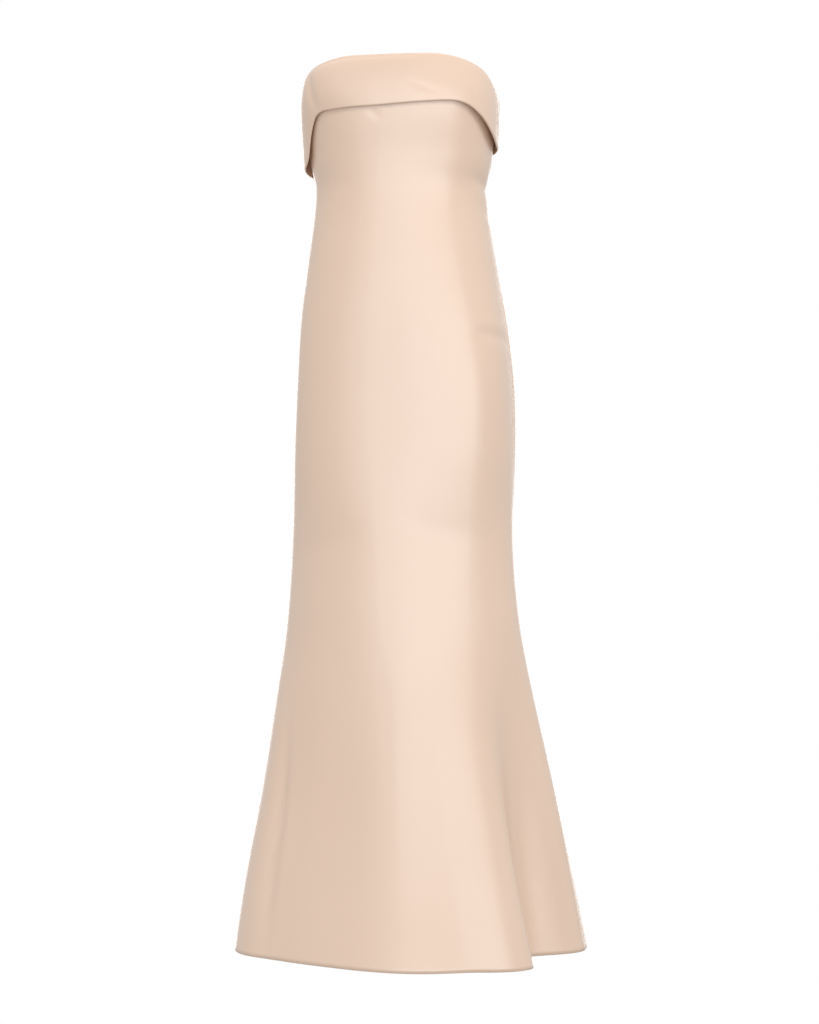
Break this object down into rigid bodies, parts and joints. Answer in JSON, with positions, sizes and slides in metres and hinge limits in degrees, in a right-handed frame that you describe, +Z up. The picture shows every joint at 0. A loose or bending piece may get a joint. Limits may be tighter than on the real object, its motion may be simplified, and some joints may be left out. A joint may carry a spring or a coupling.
{
  "type": "strapless dress",
  "caption": "Floor-length strapless satin dress, close to the body and flared below the knee, with a band folded over at the top and a zip at the centre back.",
  "frame": {"origin": "middle of the body at the bust line, where the bodice grips its wearer", "axes": "+Z up, -Y towards the front, +X towards the wearer's left"},
  "size_m": [0.5226, 0.4936, 1.3611],
  "materials": {
    "satin": "smooth duchess satin, pale champagne, soft sheen",
    "zip_tape": "matt woven tape",
    "zip_metal": "enamelled to match the cloth"
  },
  "bodies": {
    "dress": {"front_panel": "satin", "back_left_panel": "satin", "back_right_panel": "satin", "cuff_front": "satin", "cuff_back_left": "satin", "cuff_back_right": "satin", "zip_tape_left": "zip_tape", "zip_tape_right": "zip_tape", "zip_slider": "zip_metal"},
    "pull": {"zip_pull": "zip_metal"}
  },
  "joints": [
    {"name": "pull_hinge", "type": "hinge", "parent": "dress", "child": "pull", "pos_m": [0, 0.09479, -0.03334], "axis": [1, 0, 0], "range_deg": [0, 165]}
  ]
}
